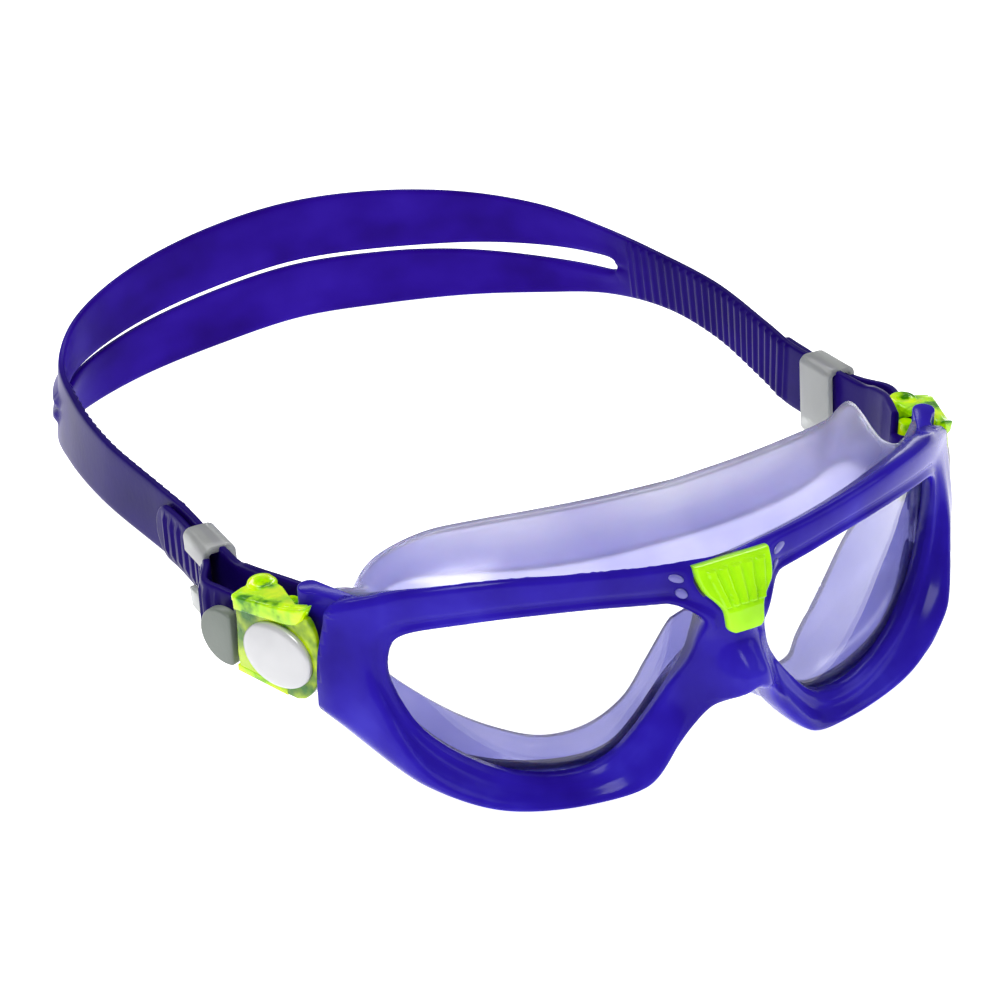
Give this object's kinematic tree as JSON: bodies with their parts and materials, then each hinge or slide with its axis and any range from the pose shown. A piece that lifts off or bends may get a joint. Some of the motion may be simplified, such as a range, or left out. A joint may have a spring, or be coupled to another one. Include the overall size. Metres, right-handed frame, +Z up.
{
  "type": "swim goggles",
  "caption": "Swim goggles with a one-piece curved lens in a wrap frame, a soft face skirt, quick-release strap buckles at the temples and a split head strap.",
  "frame": {"origin": "middle of the underside of the whole object's bounding box, on the surface that it rests on", "axes": "+X to the wearer's left, across the face; +Y to the back of the head; +Z up, with the goggles' top edge up"},
  "size_m": [0.165, 0.2178, 0.0569],
  "materials": {
    "frame_violet": "clear violet plastic, high gloss",
    "lens_clear": "clear, gloss",
    "skirt_lavender": "translucent silicone, satin",
    "strap_violet": "translucent silicone, satin, fine ribs on the inside",
    "badge_lime": "gloss",
    "buckle_lime": "translucent, gloss",
    "cap_white": "pearl white, gloss",
    "lever_grey": "matt",
    "keeper_frosted": "frosted, satin",
    "pin_steel": "satin"
  },
  "bodies": {
    "mask": {"frame_shell": "frame_violet", "lens": "lens_clear", "face_skirt": "skirt_lavender", "bridge_badge": "badge_lime", "head_strap": "strap_violet", "right_hinge_pin": "pin_steel", "left_hinge_pin": "pin_steel"},
    "right_buckle": {"right_buckle_housing": "buckle_lime", "right_buckle_cap": "cap_white", "right_strap_bar": "buckle_lime", "right_roller_pin": "pin_steel", "right_lever_pin": "pin_steel"},
    "right_roller": {"right_strap_roller": "buckle_lime"},
    "right_release": {"right_release_lever": "lever_grey"},
    "right_keeper": {"right_strap_keeper": "keeper_frosted"},
    "left_buckle": {"left_buckle_housing": "buckle_lime", "left_buckle_cap": "cap_white", "left_strap_bar": "buckle_lime", "left_roller_pin": "pin_steel", "left_lever_pin": "pin_steel"},
    "left_roller": {"left_strap_roller": "buckle_lime"},
    "left_release": {"left_release_lever": "lever_grey"},
    "left_keeper": {"left_strap_keeper": "keeper_frosted"}
  },
  "joints": [
    {"name": "right_buckle_hinge", "type": "hinge", "parent": "mask", "child": "right_buckle", "pos_m": [-0.06838, -0.06483, 0.02745], "axis": [0, 0, 1], "range_deg": [-6, 20], "deforming": ["head_strap"]},
    {"name": "right_roller_spin", "type": "hinge", "parent": "right_buckle", "child": "right_roller", "pos_m": [-0.07219, -0.05112, 0.02745], "axis": [0, 0, 1], "continuous": true},
    {"name": "right_release_press", "type": "hinge", "parent": "right_buckle", "child": "right_release", "pos_m": [-0.0756, -0.05409, 0.02745], "axis": [0, 0, -1], "range_deg": [0, 4], "stiffness_Nm_per_rad": 0.01},
    {"name": "right_keeper_slide", "type": "slide", "parent": "mask", "child": "right_keeper", "axis": [0, 0.9943, -0.1065], "range_m": [-0.007, 0.007]},
    {"name": "left_buckle_hinge", "type": "hinge", "parent": "mask", "child": "left_buckle", "pos_m": [0.06838, -0.06483, 0.02745], "axis": [0, 0, -1], "range_deg": [-6, 20], "deforming": ["head_strap"]},
    {"name": "left_roller_spin", "type": "hinge", "parent": "left_buckle", "child": "left_roller", "pos_m": [0.07219, -0.05112, 0.02745], "axis": [0, 0, 1], "continuous": true},
    {"name": "left_release_press", "type": "hinge", "parent": "left_buckle", "child": "left_release", "pos_m": [0.0756, -0.05409, 0.02745], "axis": [0, 0, 1], "range_deg": [0, 4], "stiffness_Nm_per_rad": 0.01},
    {"name": "left_keeper_slide", "type": "slide", "parent": "mask", "child": "left_keeper", "axis": [0, 0.9943, -0.1065], "range_m": [-0.007, 0.007]}
  ]
}
